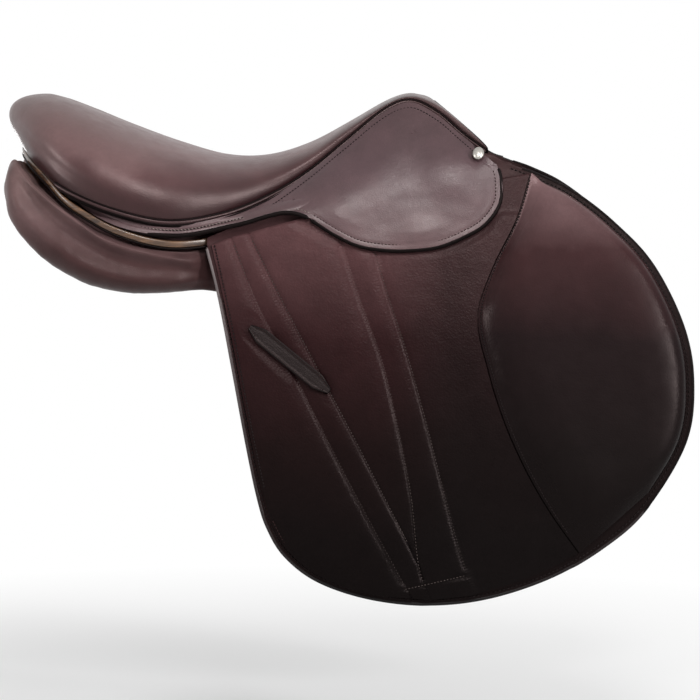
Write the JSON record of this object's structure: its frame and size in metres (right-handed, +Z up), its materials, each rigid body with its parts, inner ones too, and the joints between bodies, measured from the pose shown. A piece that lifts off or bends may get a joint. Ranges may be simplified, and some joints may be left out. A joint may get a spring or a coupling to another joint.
{
  "type": "jumping saddle",
  "caption": "Close-contact leather jumping saddle: padded seat on a tree with hidden stirrup bars, quilted flaps with knee pads, skirts, girth straps, sweat flaps and panels.",
  "frame": {"origin": "on the plane of symmetry, at the height where the panels rest on the horse's back", "axes": "+X towards the pommel (the horse's head), +Y to the saddle's left side, +Z up"},
  "size_m": [0.6417, 0.3576, 0.4631],
  "materials": {
    "seat_leather": "smooth brown calf leather, soft sheen",
    "skirt_leather": "smooth brown calf leather, soft sheen",
    "flap_leather": "grained dark brown leather",
    "dark_leather": "dark brown bridle leather",
    "rim_leather": "tan leather, glossy",
    "lining_leather": "plain dark brown leather, matt",
    "panel_leather": "soft brown leather over flocking; mostly stuffing by weight",
    "foam": "open-cell latex foam",
    "webbing": "woven linen web",
    "laminated_wood": "laminated beech, sealed",
    "spring_steel": "blued spring steel",
    "bar_steel": "forged stainless steel, satin",
    "stud_metal": "polished nickel"
  },
  "bodies": {
    "tree_and_seat": {"seat_cover": "seat_leather", "seat_foam": "foam", "seat_web": "webbing", "tree": "laminated_wood", "spring_right": "spring_steel", "spring_left": "spring_steel", "head_plate": "spring_steel", "channel_strip": "lining_leather", "pommel_facing": "seat_leather", "cantle_rim": "rim_leather", "welt_right": "dark_leather", "welt_left": "dark_leather", "skirt_head_right": "skirt_leather", "skirt_head_left": "skirt_leather", "flap_head_right": "dark_leather", "flap_head_left": "dark_leather", "stirrup_bar_right": "bar_steel", "stirrup_bar_left": "bar_steel", "tree_point_right": "laminated_wood", "tree_point_left": "laminated_wood", "girth_web_rear_right": "webbing", "girth_web_rear_left": "webbing", "girth_web_front_right": "webbing", "girth_web_front_left": "webbing", "sweat_flap_right": "lining_leather", "sweat_flap_left": "lining_leather", "panel_right": "panel_leather", "panel_left": "panel_leather", "stud_right": "stud_metal", "stud_left": "stud_metal"},
    "flap_body_right": {"flap_right": "flap_leather", "flap_facing_right": "flap_leather", "knee_pad_right": "skirt_leather", "leather_keeper_right": "dark_leather"},
    "flap_body_left": {"flap_left": "flap_leather", "flap_facing_left": "flap_leather", "knee_pad_left": "skirt_leather", "leather_keeper_left": "dark_leather"},
    "skirt_body_right": {"skirt_right": "skirt_leather"},
    "skirt_body_left": {"skirt_left": "skirt_leather"},
    "catch_body_right": {"bar_catch_right": "bar_steel"},
    "catch_body_left": {"bar_catch_left": "bar_steel"},
    "billet_front_body_right": {"billet_front_right": "dark_leather"},
    "billet_middle_body_right": {"billet_middle_right": "dark_leather"},
    "billet_rear_body_right": {"billet_rear_right": "dark_leather"},
    "billet_front_body_left": {"billet_front_left": "dark_leather"},
    "billet_middle_body_left": {"billet_middle_left": "dark_leather"},
    "billet_rear_body_left": {"billet_rear_left": "dark_leather"}
  },
  "joints": [
    {"name": "flap_lift_right", "type": "hinge", "parent": "tree_and_seat", "child": "flap_body_right", "pos_m": [0.09015, -0.1029, 0.08781], "axis": [-0.963, -0.1055, -0.2481], "range_deg": [0, 75]},
    {"name": "flap_lift_left", "type": "hinge", "parent": "tree_and_seat", "child": "flap_body_left", "pos_m": [0.09015, 0.1029, 0.08781], "axis": [0.963, -0.1055, 0.2481], "range_deg": [0, 75]},
    {"name": "skirt_lift_right", "type": "hinge", "parent": "flap_body_right", "child": "skirt_body_right", "pos_m": [0.09015, -0.1029, 0.08781], "axis": [-0.963, -0.1055, -0.2481], "range_deg": [0, 80]},
    {"name": "skirt_lift_left", "type": "hinge", "parent": "flap_body_left", "child": "skirt_body_left", "pos_m": [0.09015, 0.1029, 0.08781], "axis": [0.963, -0.1055, 0.2481], "range_deg": [0, 80]},
    {"name": "catch_turn_right", "type": "hinge", "parent": "tree_and_seat", "child": "catch_body_right", "pos_m": [0.10805, -0.09894, 0.06096], "axis": [-0.0173, 0.9493, -0.3139], "range_deg": [0, 85]},
    {"name": "catch_turn_left", "type": "hinge", "parent": "tree_and_seat", "child": "catch_body_left", "pos_m": [0.10805, 0.09894, 0.06096], "axis": [0.0173, 0.9493, 0.3139], "range_deg": [0, 85]},
    {"name": "billet_front_swing_right", "type": "hinge", "parent": "tree_and_seat", "child": "billet_front_body_right", "pos_m": [0.08433, -0.1041, 0.03603], "axis": [0.0176, -0.9538, 0.3], "range_deg": [-4, 4]},
    {"name": "billet_middle_swing_right", "type": "hinge", "parent": "tree_and_seat", "child": "billet_middle_body_right", "pos_m": [0.04831, -0.10766, 0.02682], "axis": [0.0196, -0.9559, 0.2931], "range_deg": [-4, 4]},
    {"name": "billet_rear_swing_right", "type": "hinge", "parent": "tree_and_seat", "child": "billet_rear_body_right", "pos_m": [0.01229, -0.11122, 0.01761], "axis": [0.0216, -0.9579, 0.2863], "range_deg": [-4, 4]},
    {"name": "billet_front_swing_left", "type": "hinge", "parent": "tree_and_seat", "child": "billet_front_body_left", "pos_m": [0.08433, 0.1041, 0.03603], "axis": [-0.0176, -0.9538, -0.3], "range_deg": [-4, 4]},
    {"name": "billet_middle_swing_left", "type": "hinge", "parent": "tree_and_seat", "child": "billet_middle_body_left", "pos_m": [0.04831, 0.10766, 0.02682], "axis": [-0.0196, -0.9559, -0.2931], "range_deg": [-4, 4]},
    {"name": "billet_rear_swing_left", "type": "hinge", "parent": "tree_and_seat", "child": "billet_rear_body_left", "pos_m": [0.01229, 0.11122, 0.01761], "axis": [-0.0216, -0.9579, -0.2863], "range_deg": [-4, 4]}
  ],
  "couplings": [
    {"joint": "billet_middle_swing_right", "follows": "billet_front_swing_right", "ratio": 1},
    {"joint": "billet_rear_swing_right", "follows": "billet_front_swing_right", "ratio": 1},
    {"joint": "billet_middle_swing_left", "follows": "billet_front_swing_left", "ratio": 1},
    {"joint": "billet_rear_swing_left", "follows": "billet_front_swing_left", "ratio": 1}
  ]
}
